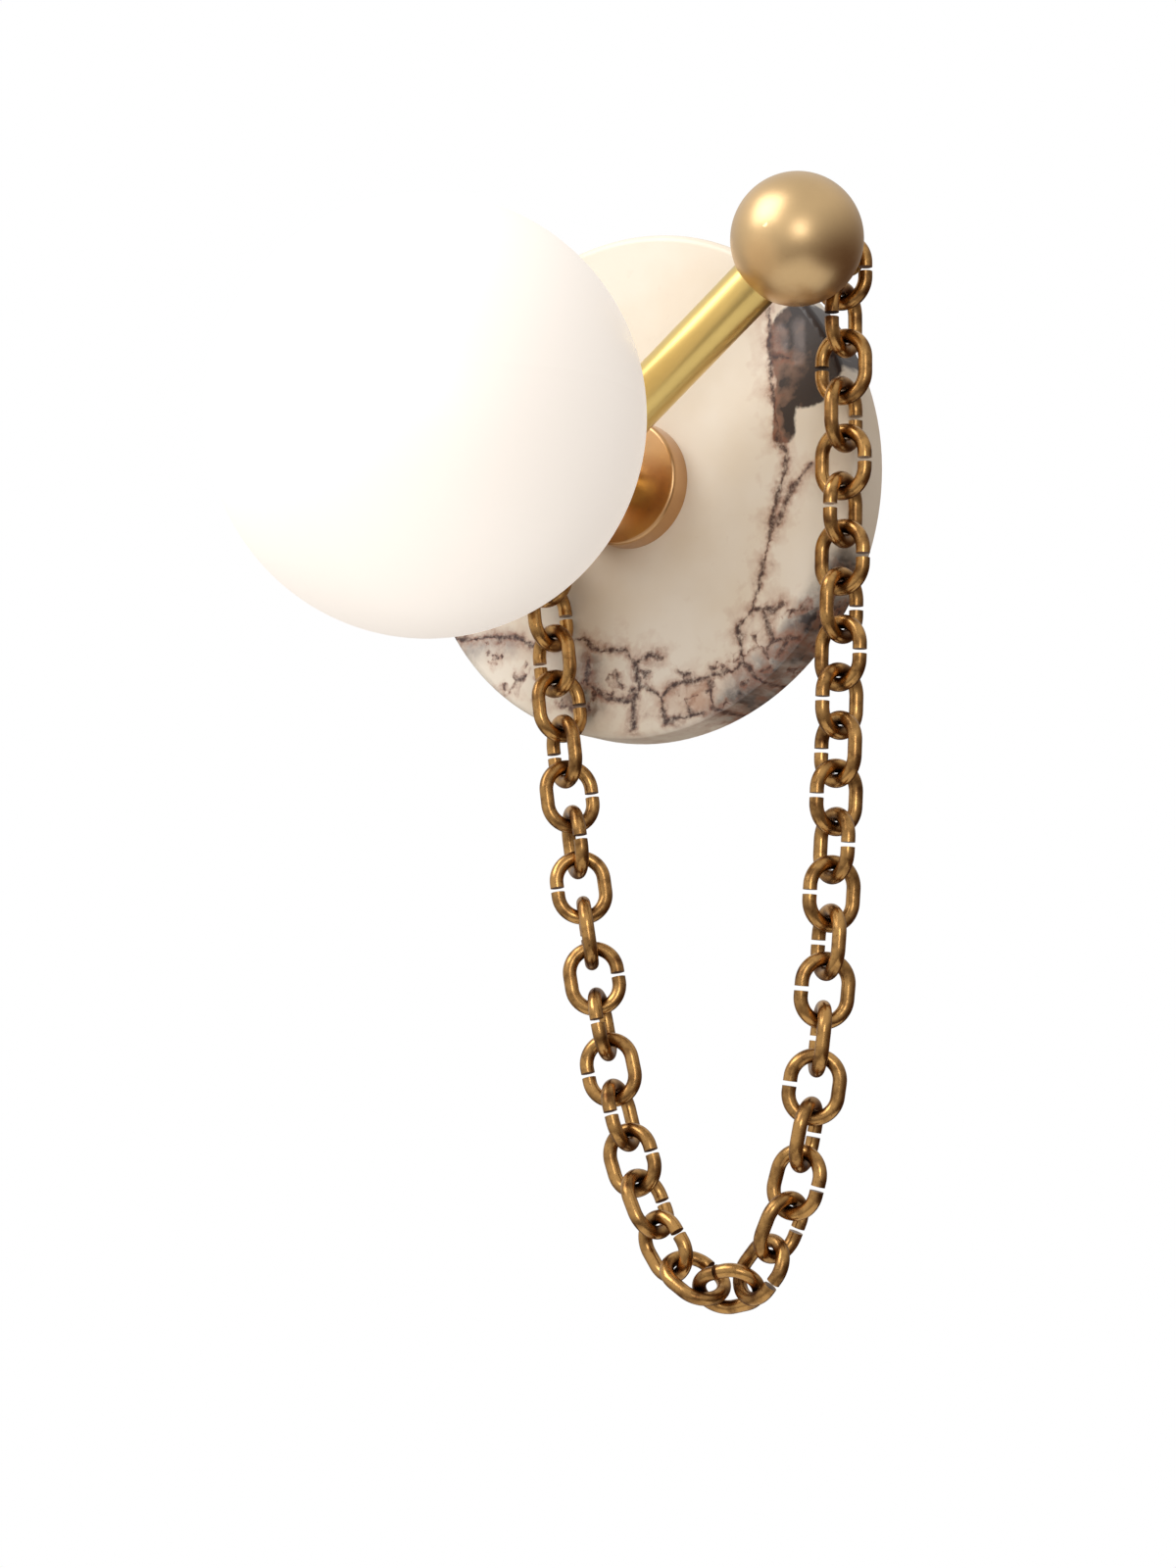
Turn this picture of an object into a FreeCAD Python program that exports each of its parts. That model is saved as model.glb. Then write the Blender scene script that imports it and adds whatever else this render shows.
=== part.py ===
"""Wall sconce: a round stone backplate, a slanted brass arm with a ball at each end,
a frosted glass globe in front, and a long open-link chain hung from ball to ball.

Every piece is drawn in the fixture frame: X to the right, Y up the wall and Z straight
out of the wall, with the centre of the backplate's rear face at the origin. FACE_OUT
then stands that frame against the wall: X right, Z up, and the front towards -Y.
"""
import FreeCAD, Part
import math
import os
import re
import Sketcher
from FreeCAD import Placement, Rotation, Vector

FACE_OUT = Placement(Vector(0, 0, 0), Rotation(Vector(1, 0, 0), 90))

# Driving dimensions in millimetres and degrees. Stations are distances from the wall.
SIZES = (
    ("plate_diameter", 200, "stone backplate, across"),
    ("plate_thickness", 20, "stone backplate, front to back"),
    ("plate_edge_radius", 3, "eased front edge of the stone"),
    ("plate_bore", 11, "hole for the threaded tube"),
    ("recess_diameter", 116, "wiring recess in the stone's back"),
    ("recess_depth", 12, "wiring recess, deep"),
    ("bracket_length", 100, "steel wall bar"),
    ("bracket_width", 24, "steel wall bar"),
    ("bracket_thickness", 2, "steel wall bar"),
    ("fixing_spacing", 80, "between the two wall screws"),
    ("slot_width", 4.5, "wall screw slot"),
    ("slot_length", 10, "wall screw slot, over its round ends"),
    ("earth_position", 24, "earth screw, left of the centre"),
    ("earth_screw_diameter", 4, "earth screw thread"),
    ("earth_head_diameter", 7.5, "earth screw head"),
    ("earth_head_height", 2.2, "earth screw head"),
    ("tube_diameter", 10, "threaded tubes, outside"),
    ("tube_bore", 6.5, "threaded tubes, wire way"),
    ("fit_gap", 0.05, "radial gap round a threaded or plugged piece"),
    ("rear_tube_end", 40, "station of the rear tube's front end"),
    ("nut_width", 14, "hexagon nuts, across flats"),
    ("nut_height", 3, "hexagon nuts"),
    ("washer_diameter", 28, "washer behind the stone"),
    ("washer_thickness", 1.5, "washer behind the stone"),
    ("terminal_position", 24, "terminal block, right of the centre"),
    ("terminal_length", 18, "terminal block"),
    ("terminal_width", 14, "terminal block"),
    ("terminal_height", 8, "terminal block"),
    ("terminal_pitch", 5.5, "between the terminal screws"),
    ("terminal_screw_diameter", 3, "terminal screws"),
    ("terminal_screw_length", 6, "terminal screws"),
    ("collar_diameter", 50, "brass collar on the stone"),
    ("collar_height", 10, "brass collar, proud of the stone"),
    ("collar_dish_diameter", 38, "dished centre of the collar"),
    ("collar_dish_depth", 1.5, "dished centre of the collar"),
    ("collar_edge_radius", 1.5, "eased front edge of the collar"),
    ("stem_diameter", 16, "stem between collar and hub"),
    ("spigot_diameter", 12, "end of the stem inside the hub"),
    ("spigot_length", 4, "end of the stem inside the hub"),
    ("arm_station", 62, "arm axis from the wall"),
    ("arm_angle", 35.5, "slope of the arm, in degrees"),
    ("arm_diameter", 20, "arm rod"),
    ("wire_way", 7, "cross hole through the arm for the wires"),
    ("hub_diameter", 30, "hub round the arm"),
    ("hub_length", 30, "hub, along the stem"),
    ("hub_edge_radius", 2, "eased edges of the hub"),
    ("lock_screw_diameter", 5, "screw that locks the arm in the hub"),
    ("ball_diameter", 50, "ball at each end of the arm"),
    ("upper_reach", 123, "stem axis to the upper ball's centre"),
    ("lower_reach", 42, "stem axis to the lower ball's centre"),
    ("ball_seat", 14, "ball centre to the arm's end face"),
    ("stud_diameter", 8, "stud between arm and ball"),
    ("stud_in_ball", 10, "stud length in the ball"),
    ("stud_in_arm", 16, "stud length in the arm"),
    ("pin_diameter", 6, "pin that the chain hangs on"),
    ("pin_depth", 12, "ball centre to the pin's inner end"),
    ("pin_head_diameter", 13, "pin head"),
    ("pin_head_thickness", 2, "pin head"),
    ("upper_pin_offset", 4, "upper pin, right of its ball's centre"),
    ("pin_drop", 1, "both pins, below their ball's centre"),
    ("chain_station", 32.5, "chain's hanging plane from the wall"),
    ("link_count", 40, "links in the chain"),
    ("link_pitch", 18.2, "chain pitch"),
    ("link_width", 24, "link, over its sides"),
    ("link_wire", 5.4, "wire of the links"),
    ("link_gap", 1.8, "open cut in the side of a link"),
    ("hang_gap", 0.3, "between one link's wire and the next"),
    ("pin_head_gap", 0.4, "between the end link and the pin's head"),
    ("cup_diameter", 44, "cup that holds the globe's neck"),
    ("cup_wall", 1.8, "wall of the cup"),
    ("cup_floor", 2, "floor of the cup"),
    ("cup_depth", 7, "cup, floor to rim"),
    ("cup_boss_diameter", 18, "boss between cup and hub"),
    ("cup_boss_height", 2, "boss between cup and hub"),
    ("front_tube_in_hub", 4, "front tube inside the hub"),
    ("front_tube_in_holder", 4, "front tube inside the lampholder"),
    ("gasket_thickness", 1, "seal under the globe's neck"),
    ("neck_gap", 0.8, "between the globe's neck and the cup, all round"),
    ("glass_thickness", 2, "wall of the globe"),
    ("globe_diameter", 160, "glass globe"),
    ("globe_rim_gap", 1.1, "between the cup's rim and the globe"),
    ("thumb_screw_diameter", 3.2, "globe screws, thread"),
    ("thumb_head_diameter", 6, "globe screws, head"),
    ("thumb_head_length", 4, "globe screws, head"),
    ("thumb_gap", 0.2, "between a globe screw's tip and the glass"),
    ("thumb_first_angle", 30, "direction of the first globe screw"),
    ("holder_diameter", 26, "lampholder"),
    ("holder_length", 20, "lampholder"),
    ("contact_spacing", 9, "between the lamp's two pins"),
    ("contact_diameter", 3.7, "lampholder contacts"),
    ("contact_length", 4, "lampholder contacts"),
    ("contact_depth", 12, "contact bores, deep"),
    ("lamp_pin_diameter", 1.6, "lamp pins"),
    ("lamp_pin_length", 7.5, "lamp pins"),
    ("lamp_gap", 0.3, "between the lamp's base and its holder"),
    ("lamp_base_diameter", 15, "lamp base"),
    ("lamp_base_length", 12, "lamp base"),
    ("lamp_diameter", 17, "lamp envelope"),
    ("lamp_length", 34, "lamp envelope, base to tip"),
    ("lamp_wall", 1, "lamp envelope's glass"),
)

# How far the chain has turned about its own line, from the upper end to the lower one:
# (share of the chain's length, degrees).
TWIST = ((0.0, 0), (0.13, 3), (0.23, 15), (0.385, 42), (0.487, 92), (0.538, 113),
         (0.59, 153), (0.69, 186), (0.95, 250), (1.0, 270))

# Which side of each link its cut is on, from the upper ball on.
CUT_SIDES = "+--++-+++---+------+-++-+-++-++--++-+-+-"

# How finely the hanging chain is worked out, and the least and greatest pull tried.
HALVINGS = 30
PULLS = (0.01, 100.0)
SEATINGS = 5
END_STEPS = 24

# Two lengths closer than this, in millimetres, are the same.
SAME = 1e-6

doc = FreeCAD.newDocument("wall_sconce")
sheet = doc.addObject("Spreadsheet::Sheet", "Sizes")
nodes = []


def fill_sheet():
    """Write every driving dimension to its own row, with its name as the alias."""
    for row, (name, value, note) in enumerate(SIZES, start=1):
        sheet.set(f"A{row}", name)
        sheet.set(f"B{row}", str(value))
        sheet.setAlias(f"B{row}", name)
        sheet.set(f"C{row}", note)
    doc.recompute()


def size(name):
    """A driving dimension, as a number."""
    return float(sheet.get(name))


def formula(text):
    """Point the dimension names in an expression at the sheet."""
    names = {name for name, _, _ in SIZES}
    return re.sub("[a-z_]+", lambda word: f"Sizes.{word[0]}" if word[0] in names else word[0], text)


def bind(thing, **formulas):
    """Bind properties to expressions of the sheet; a double underscore stands for a dot."""
    for name, text in formulas.items():
        thing.setExpression(name.replace("__", "."), formula(text))
    return thing


def finish(thing, label, placement=FACE_OUT):
    """Name a finished sub-part, stand it against the wall and keep it for export."""
    thing.Label = label
    thing.Placement = placement
    nodes.append(thing)
    return thing


def cylinder(radius, start, length, x="0", y="0"):
    """A cylinder that runs out of the wall from a station."""
    tool = doc.addObject("Part::Cylinder", "Cylinder")
    return bind(tool, Radius=radius, Height=length, Placement__Base__x=x,
                Placement__Base__y=y, Placement__Base__z=start)


def box(length, width, height, x, y, z):
    """A box whose near corner is at x, y, z."""
    tool = doc.addObject("Part::Box", "Box")
    return bind(tool, Length=length, Width=width, Height=height, Placement__Base__x=x,
                Placement__Base__y=y, Placement__Base__z=z)


def prism(width, start, height):
    """A hexagonal prism of a width across flats."""
    tool = doc.addObject("Part::Prism", "Prism")
    tool.Polygon = 6
    return bind(tool, Circumradius=f"{width} / ( 2 * cos(30) )", Height=height,
                Placement__Base__z=start)


def fuse(*things):
    """Join solids into one."""
    joined = doc.addObject("Part::MultiFuse", "Fuse")
    joined.Shapes = list(things)
    return joined


def cut(base, *tools):
    """Cut one or more tools out of a base."""
    result = doc.addObject("Part::Cut", "Cut")
    result.Base = base
    result.Tool = tools[0] if len(tools) == 1 else fuse(*tools)
    return result


def group(*solids):
    """Keep like pieces together as separate solids."""
    together = doc.addObject("Part::Compound", "Group")
    together.Links = list(solids)
    return together


def origin_plane(body, role):
    """One of a body's own origin planes."""
    return next(item for item in body.Origin.OriginFeatures if item.Role == role)


def turned(name, profile):
    """A body turned about the stem axis from (radius, station) corners."""
    body = doc.addObject("PartDesign::Body", name)
    sketch = body.newObject("Sketcher::SketchObject", f"{name}_profile")
    sketch.AttachmentSupport = [(origin_plane(body, "XZ_Plane"), "")]
    sketch.MapMode = "FlatFace"
    corners = [(evaluate(radius), evaluate(station)) for radius, station in profile]
    for number, (radius, station) in enumerate(corners):
        after = corners[(number + 1) % len(corners)]
        sketch.addGeometry(Part.LineSegment(Vector(radius, station, 0), Vector(*after, 0)))
    for number in range(len(corners)):
        following = (number + 1) % len(corners)
        sketch.addConstraint(Sketcher.Constraint("Coincident", number, 2, following, 1))
    for number, (radius, station) in enumerate(profile):
        pin_corner(sketch, number, "DistanceX", f"radius_{number}", radius, corners[number][0])
        pin_corner(sketch, number, "DistanceY", f"station_{number}", station, corners[number][1])
    turn = body.newObject("PartDesign::Revolution", f"{name}_turn")
    turn.Profile = sketch
    turn.ReferenceAxis = (sketch, ["V_Axis"])
    turn.Angle = 360
    doc.recompute()
    return body


def pin_corner(sketch, number, kind, name, text, value):
    """Hold one coordinate of a profile's corner to an expression, or to the axis at 0."""
    if abs(value) < SAME:
        axis = -2 if kind == "DistanceX" else -1
        sketch.addConstraint(Sketcher.Constraint("PointOnObject", number, 1, axis))
        return
    index = sketch.addConstraint(Sketcher.Constraint(kind, number, 1, value))
    sketch.renameConstraint(index, name)
    sketch.setExpression(f"Constraints.{name}", formula(text))


def evaluate(text):
    """The value of an expression of driving dimensions."""
    return float(sheet.evalExpression(formula(text)))


def ease(body, radius_name, *places):
    """Round a turned body's edges at the given (radius, station) places."""
    edges = []
    for number, edge in enumerate(body.Shape.Edges, start=1):
        circle = edge.Curve
        if not isinstance(circle, Part.Circle):
            continue
        for radius, station in places:
            same_radius = abs(circle.Radius - evaluate(radius)) < SAME
            if same_radius and abs(circle.Center.z - evaluate(station)) < SAME:
                edges.append(f"Edge{number}")
    base = body.Tip
    fillet = body.newObject("PartDesign::Fillet", f"{body.Name}_ease")
    fillet.Base = (base, edges)
    bind(fillet, Radius=radius_name)
    body.Tip = fillet
    doc.recompute()
    return body


# Backplate and what fixes it to the wall ------------------------------------------------

def make_backplate():
    """The round stone plate: bored for the tube, with a wiring recess in its back."""
    outer = "plate_diameter / 2"
    inner = "plate_bore / 2"
    recess = "recess_diameter / 2"
    plate = turned("backplate", (
        (inner, "recess_depth"), (recess, "recess_depth"), (recess, "0"),
        (outer, "0"), (outer, "plate_thickness"), (inner, "plate_thickness")))
    ease(plate, "plate_edge_radius", (outer, "plate_thickness"))
    finish(plate, "marble_backplate")


def make_bracket():
    """The steel bar on the wall, with two slots for the wall screws."""
    bar = box("bracket_length", "bracket_width", "bracket_thickness",
              "-bracket_length / 2", "-bracket_width / 2", "0")
    holes = [cylinder("tube_diameter / 2 + fit_gap", "0", "bracket_thickness"),
             cylinder("earth_screw_diameter / 2 + fit_gap", "0", "bracket_thickness",
                      x="-earth_position")]
    for side in ("-1", "1"):
        middle = f"{side} * fixing_spacing / 2"
        run = "( slot_length - slot_width )"
        holes.append(box(run, "slot_width", "bracket_thickness",
                         f"{middle} - {run} / 2", "-slot_width / 2", "0"))
        for end in ("-1", "1"):
            holes.append(cylinder("slot_width / 2", "0", "bracket_thickness",
                                  x=f"{middle} + {end} * {run} / 2"))
    finish(cut(bar, *holes), "wall_bracket")


def make_hexagon_nut(label, start):
    """A hexagon nut on a threaded tube."""
    bore = cylinder("tube_diameter / 2 + fit_gap", start, "nut_height")
    finish(cut(prism("nut_width", start, "nut_height"), bore), label)


def make_fixings():
    """The threaded tube through the stone, its nuts and the washer."""
    tube = cylinder("tube_diameter / 2", "0", "rear_tube_end")
    finish(cut(tube, cylinder("tube_bore / 2", "0", "rear_tube_end")), "threaded_tube")
    make_hexagon_nut("bracket_nut", "bracket_thickness")
    washer_start = "recess_depth - washer_thickness"
    washer = cylinder("washer_diameter / 2", washer_start, "washer_thickness")
    hole = cylinder("tube_diameter / 2 + fit_gap", washer_start, "washer_thickness")
    finish(cut(washer, hole), "plate_washer")
    make_hexagon_nut("plate_nut", "recess_depth - washer_thickness - nut_height")


def make_terminals():
    """The terminal block and the earth screw on the wall bar."""
    left = "terminal_position - terminal_length / 2"
    block = box("terminal_length", "terminal_width", "terminal_height",
                left, "-terminal_width / 2", "bracket_thickness")
    start = "bracket_thickness + terminal_height - terminal_screw_length"
    bores = []
    screws = []
    for place in ("-1", "0", "1"):
        middle = f"terminal_position + {place} * terminal_pitch"
        bores.append(cylinder("terminal_screw_diameter / 2 + fit_gap", start,
                              "terminal_screw_length", x=middle))
        screws.append(cylinder("terminal_screw_diameter / 2", start,
                               "terminal_screw_length", x=middle))
    finish(cut(block, *bores), "terminal_block")
    finish(group(*screws), "terminal_screws")
    shank = cylinder("earth_screw_diameter / 2", "0", "bracket_thickness", x="-earth_position")
    head = cylinder("earth_head_diameter / 2", "bracket_thickness", "earth_head_height",
                    x="-earth_position")
    finish(fuse(shank, head), "earth_screw")


# Stem and arm ---------------------------------------------------------------------------

def make_stem():
    """The dished collar on the stone and the stem that stands in it."""
    face = "plate_thickness + collar_height"
    dish = "plate_thickness + collar_height - collar_dish_depth"
    bore = "tube_diameter / 2 + fit_gap"
    collar = turned("collar", (
        (bore, "plate_thickness"), ("collar_diameter / 2", "plate_thickness"),
        ("collar_diameter / 2", face), ("collar_dish_diameter / 2", face),
        ("collar_dish_diameter / 2", dish), (bore, dish)))
    ease(collar, "collar_edge_radius", ("collar_diameter / 2", face))
    finish(collar, "collar")
    hub_back = "arm_station - hub_length / 2"
    stem = turned("stem", (
        (bore, dish), ("stem_diameter / 2", dish), ("stem_diameter / 2", hub_back),
        ("spigot_diameter / 2", hub_back), ("spigot_diameter / 2", f"{hub_back} + spigot_length"),
        ("tube_bore / 2", f"{hub_back} + spigot_length"), ("tube_bore / 2", "rear_tube_end"),
        (bore, "rear_tube_end")))
    finish(stem, "stem_tube")


def arm_frame(along="0", turn=Rotation()):
    """A placement on the arm's axis, with X along the arm from the stem to the upper ball."""
    slope = math.radians(size("arm_angle"))
    distance = evaluate(along)
    place = Vector(distance * math.cos(slope), distance * math.sin(slope), size("arm_station"))
    return Placement(place, Rotation(Vector(0, 0, 1), size("arm_angle")).multiply(turn))


def arm_cylinder(radius, start, length):
    """A cylinder along the arm, from a distance to the stem axis."""
    tool = doc.addObject("Part::Cylinder", "Cylinder")
    tool.Placement = arm_frame(start, Rotation(Vector(0, 1, 0), 90))
    return bind(tool, Radius=radius, Height=length)


def make_hub():
    """The hub that the arm passes through, with its locking screw."""
    back = "arm_station - hub_length / 2"
    radius = "hub_diameter / 2"
    blank = turned("hub_blank", (("0", back), (radius, back),
                                 (radius, f"{back} + hub_length"), ("0", f"{back} + hub_length")))
    ease(blank, "hub_edge_radius", (radius, back), (radius, f"{back} + hub_length"))
    arm_bore = arm_cylinder("arm_diameter / 2 + fit_gap", "-hub_diameter", "2 * hub_diameter")
    rear_bore = cylinder("spigot_diameter / 2 + fit_gap", back, "spigot_length")
    wire_bore = cylinder("wire_way / 2", back, "hub_length / 2")
    front_bore = cylinder("tube_diameter / 2 + fit_gap", "arm_station", "hub_length / 2")
    screw_bore = doc.addObject("Part::Cylinder", "Cylinder")
    screw_bore.Placement = arm_frame("0", Rotation(Vector(1, 0, 0), 90))
    bind(screw_bore, Radius="lock_screw_diameter / 2 + fit_gap", Height="hub_diameter")
    finish(cut(blank, arm_bore, rear_bore, wire_bore, front_bore, screw_bore), "cross_hub")
    screw = doc.addObject("Part::Cylinder", "Cylinder")
    bind(screw, Radius="lock_screw_diameter / 2", Height="( hub_diameter - arm_diameter ) / 2")
    slide = Placement(Vector(0, 0, evaluate("arm_diameter / 2")), Rotation())
    screw.Placement = screw_bore.Placement.multiply(slide)
    finish(group(screw), "arm_lock_screw")


def make_arm():
    """The rod from ball to ball, drilled for the wires and for the two studs."""
    start = "-( lower_reach - ball_seat )"
    length = "lower_reach + upper_reach - 2 * ball_seat"
    rod = arm_cylinder("arm_diameter / 2", start, length)
    wires = cylinder("wire_way / 2", "arm_station - arm_diameter", "2 * arm_diameter")
    stud_bore = "stud_diameter / 2 + fit_gap"
    upper_end = "upper_reach - ball_seat"
    finish(cut(rod, wires,
               arm_cylinder(stud_bore, start, "stud_in_arm"),
               arm_cylinder(stud_bore, f"{upper_end} - stud_in_arm", "stud_in_arm")), "arm_rod")
    stud = "stud_in_arm + stud_in_ball"
    upper = arm_cylinder("stud_diameter / 2", f"{upper_end} - stud_in_arm", stud)
    lower = arm_cylinder("stud_diameter / 2", f"{start} - stud_in_ball", stud)
    finish(group(upper), "upper_ball_stud")
    finish(group(lower), "lower_ball_stud")


UPPER_PIN = ("upper_reach * cos( arm_angle ) + upper_pin_offset",
             "upper_reach * sin( arm_angle ) - pin_drop")
LOWER_PIN = ("-lower_reach * cos( arm_angle )", "-lower_reach * sin( arm_angle ) - pin_drop")


def make_ball(side, sign, reach, pin_place):
    """A solid ball on the arm's end, and the headed pin in its back for the chain."""
    sphere = doc.addObject("Part::Sphere", "Ball")
    sphere.Placement = arm_frame(f"{sign} * {reach}")
    bind(sphere, Radius="ball_diameter / 2")
    seat_end = f"{reach} - ball_seat"
    if sign > 0:
        seat = arm_cylinder("arm_diameter / 2 + fit_gap", f"{seat_end} - ball_diameter", "ball_diameter")
        stud_bore = arm_cylinder("stud_diameter / 2 + fit_gap", seat_end, "stud_in_ball")
    else:
        seat = arm_cylinder("arm_diameter / 2 + fit_gap", f"-( {seat_end} )", "ball_diameter")
        stud_bore = arm_cylinder("stud_diameter / 2 + fit_gap", f"-( {seat_end} ) - stud_in_ball",
                                 "stud_in_ball")
    x, y = pin_place
    head = "chain_station - link_wire / 2 - pin_head_gap - pin_head_thickness"
    shank = "arm_station - pin_depth - ( chain_station - link_wire / 2 - pin_head_gap )"
    shank_start = "chain_station - link_wire / 2 - pin_head_gap"
    pin_bore = cylinder("pin_diameter / 2 + fit_gap", shank_start, shank, x=x, y=y)
    finish(cut(sphere, seat, stud_bore, pin_bore), f"{side}_ball")
    finish(fuse(cylinder("pin_head_diameter / 2", head, "pin_head_thickness", x=x, y=y),
                cylinder("pin_diameter / 2", shank_start, shank, x=x, y=y)), f"{side}_chain_pin")


# Chain ----------------------------------------------------------------------------------

def make_link_pattern():
    """One open link, its long way along Y and its cut on the +X side."""
    bend = "( link_width - link_wire ) / 2"
    straight = "( link_pitch + link_wire + hang_gap - ( link_width - link_wire ) )"
    parts = []
    for turn, side in ((0, "1"), (180, "-1")):
        arc = doc.addObject("Part::Torus", "Bend")
        arc.Placement = Placement(Vector(0, 0, 0), Rotation(Vector(0, 0, 1), turn))
        arc.Angle3 = 180
        parts.append(bind(arc, Radius1=bend, Radius2="link_wire / 2",
                          Placement__Base__y=f"{side} * {straight} / 2"))
        leg = doc.addObject("Part::Cylinder", "Leg")
        leg.Placement = Placement(Vector(0, 0, 0), Rotation(Vector(1, 0, 0), -90))
        parts.append(bind(leg, Radius="link_wire / 2", Height=straight,
                          Placement__Base__x=f"{side} * {bend}",
                          Placement__Base__y=f"-{straight} / 2"))
    opening = box("2 * link_wire", "link_gap", "2 * link_wire",
                  f"{bend} - link_wire", "-link_gap / 2", "-link_wire")
    pattern = cut(fuse(*parts), opening)
    pattern.Label = "link_pattern"
    doc.recompute()
    return pattern


def lean_along(step, lowest, pull):
    """The way a hanging chain runs at a link or, at a half number, between two links.

    The chain's level tension is pull link weights, and its lowest point is at lowest.
    """
    slope = math.atan2(step - lowest, pull)
    return Vector(-math.cos(slope), math.sin(slope), 0)


def hang_links(start, facing, seats, lowest, pull):
    """Middles of the links that hang from a pin, and the place of a pin after the last.

    A link that faces the viewer is pulled along its round end, so its middle keeps in
    line with the pull there. A link seen from its edge reaches straight to its end.
    """
    bend = evaluate("( link_width - link_wire ) / 2")
    straight = evaluate("( link_pitch + link_wire + hang_gap ) / 2") - bend
    middles = []
    place = start
    rounding = 0.0
    for number, share in enumerate(facing):
        along = lean_along(number + 1, lowest, pull)
        reach = along * (straight + bend * (1 - share))
        pulled = bend * (rounding + share) - seats[number]
        middles.append(place + lean_along(number + 0.5, lowest, pull) * pulled + reach)
        place = middles[-1] + reach
        rounding = share
    last = lean_along(len(facing) + 0.5, lowest, pull) * (bend * rounding - seats[-1])
    return middles, place + last


def settle_chain(start, end, facing, seats):
    """The lowest point and the pull that bring the last pin to its place, by halving."""
    count = len(facing)

    def lowest_for(pull):
        low, high = 0.0, count + 1.0
        for _ in range(HALVINGS):
            middle = (low + high) / 2
            climbed = hang_links(start, facing, seats, middle, pull)[1].y - end.y
            low, high = (middle, high) if climbed > 0 else (low, middle)
        return (low + high) / 2

    low, high = PULLS
    for _ in range(HALVINGS):
        pull = math.sqrt(low * high)
        covered = hang_links(start, facing, seats, lowest_for(pull), pull)[1].x - end.x
        low, high = (pull, high) if covered > 0 else (low, pull)
    return lowest_for(pull), pull


def round_end(place, side):
    """Points along the wire's middle, round one end of a link."""
    middle, along, across = place
    bend = evaluate("( link_width - link_wire ) / 2")
    straight = evaluate("( link_pitch + link_wire + hang_gap ) / 2") - bend
    turns = [math.pi * step / END_STEPS for step in range(END_STEPS + 1)]
    return [middle + along * side * (straight + bend * math.sin(turn))
            + across * bend * math.cos(turn) for turn in turns]


def twist_at(share):
    """How far the chain has turned about its own line at a share of its length."""
    for (before, start), (after, end) in zip(TWIST, TWIST[1:]):
        if share <= after:
            return start + (end - start) * (share - before) / (after - before)
    return TWIST[-1][1]


def link_ways(turns, lowest, pull):
    """Each link's way along the chain and its way across, to the side of its cut."""
    ways = []
    for number, turn in enumerate(turns):
        along = lean_along(number + 1, lowest, pull)
        outward = Vector(-along.y, along.x, 0)
        across = outward * math.cos(turn) - Vector(0, 0, 1) * math.sin(turn)
        if CUT_SIDES[number % len(CUT_SIDES)] == "-":
            across = -across
        ways.append((along, across))
    return ways


def link_places():
    """Where each link lies: its middle, its way along the chain and its way across.

    Each joint is let out until the wires in it clear each other by the hanging gap.
    """
    count = int(size("link_count"))
    start, end = (Vector(evaluate(x), evaluate(y), size("chain_station"))
                  for x, y in (UPPER_PIN, LOWER_PIN))
    turns = [math.radians(90 * (number % 2) - twist_at(number / (count - 1)))
             for number in range(count)]
    facing = [math.cos(turn) ** 2 for turn in turns]
    clear = evaluate("link_wire + hang_gap")
    pin_seat = evaluate("( link_wire + pin_diameter ) / 2 + hang_gap")
    seats = [pin_seat] + [clear] * (count - 1) + [pin_seat]
    for _ in range(SEATINGS):
        lowest, pull = settle_chain(start, end, facing, seats)
        middles = hang_links(start, facing, seats, lowest, pull)[0]
        ways = link_ways(turns, lowest, pull)
        places = [(middle, *way) for middle, way in zip(middles, ways)]
        for number, (before, after) in enumerate(zip(places, places[1:]), start=1):
            least = min(one.distanceToPoint(other) for one in round_end(before, 1)
                        for other in round_end(after, -1))
            seats[number] += clear - least
    return places


def make_chain():
    """All the links. Two links at each end hang still and those between swing together."""
    pattern = make_link_pattern()
    links = []
    for number, (middle, along, across) in enumerate(link_places(), start=1):
        link = doc.addObject("App::Link", f"Link_{number:02d}")
        link.LinkedObject = pattern
        link.LinkPlacement = Placement(middle, Rotation(across, along, Vector(), "XYZ"))
        links.append(link)
    last = len(links)
    starts = list(range(1, last - 1, 2)) + [last - 1]
    for first in starts:
        after = min(first + 2, last - 1) if first < last - 1 else last + 1
        members = links[first - 1:after - 1]
        name = "_".join(f"{first + place:02d}" for place in range(len(members)))
        finish(group(*members), f"chain_link_{name}")


# Globe, its holder and the lamp -----------------------------------------------------------

HUB_FRONT = "arm_station + hub_length / 2"
CUP_BACK = f"{HUB_FRONT} + cup_boss_height"
CUP_INSIDE = f"{CUP_BACK} + cup_floor"
NECK_END = f"{CUP_INSIDE} + gasket_thickness"
NECK_RADIUS = "( cup_diameter / 2 - cup_wall - neck_gap )"
GLOBE_STATION = (f"( {CUP_INSIDE} + cup_depth + globe_rim_gap"
                 " + sqrt( ( globe_diameter / 2 ) ^ 2 - ( cup_diameter / 2 ) ^ 2 ) )")
HOLDER_BACK = f"{CUP_INSIDE} + nut_height"
HOLDER_FRONT = f"{HOLDER_BACK} + holder_length"
LAMP_BACK = f"{HOLDER_FRONT} + lamp_gap"
LAMP_GLASS = f"{LAMP_BACK} + lamp_base_length"


def screw_angles():
    """Directions of the three globe screws."""
    return [size("thumb_first_angle") + 120 * number for number in range(3)]


def radial_cylinder(radius, start, length, angle):
    """A cylinder that runs outwards from the stem axis at the globe screws' station."""
    tool = doc.addObject("Part::Cylinder", "Cylinder")
    outward = Rotation(Vector(0, 0, 1), angle)
    distance = outward.multVec(Vector(evaluate(start), 0, 0))
    station = evaluate(f"{CUP_INSIDE} + cup_depth / 2")
    tool.Placement = Placement(distance + Vector(0, 0, station),
                               outward.multiply(Rotation(Vector(0, 1, 0), 90)))
    return bind(tool, Radius=radius, Height=length)


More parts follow.
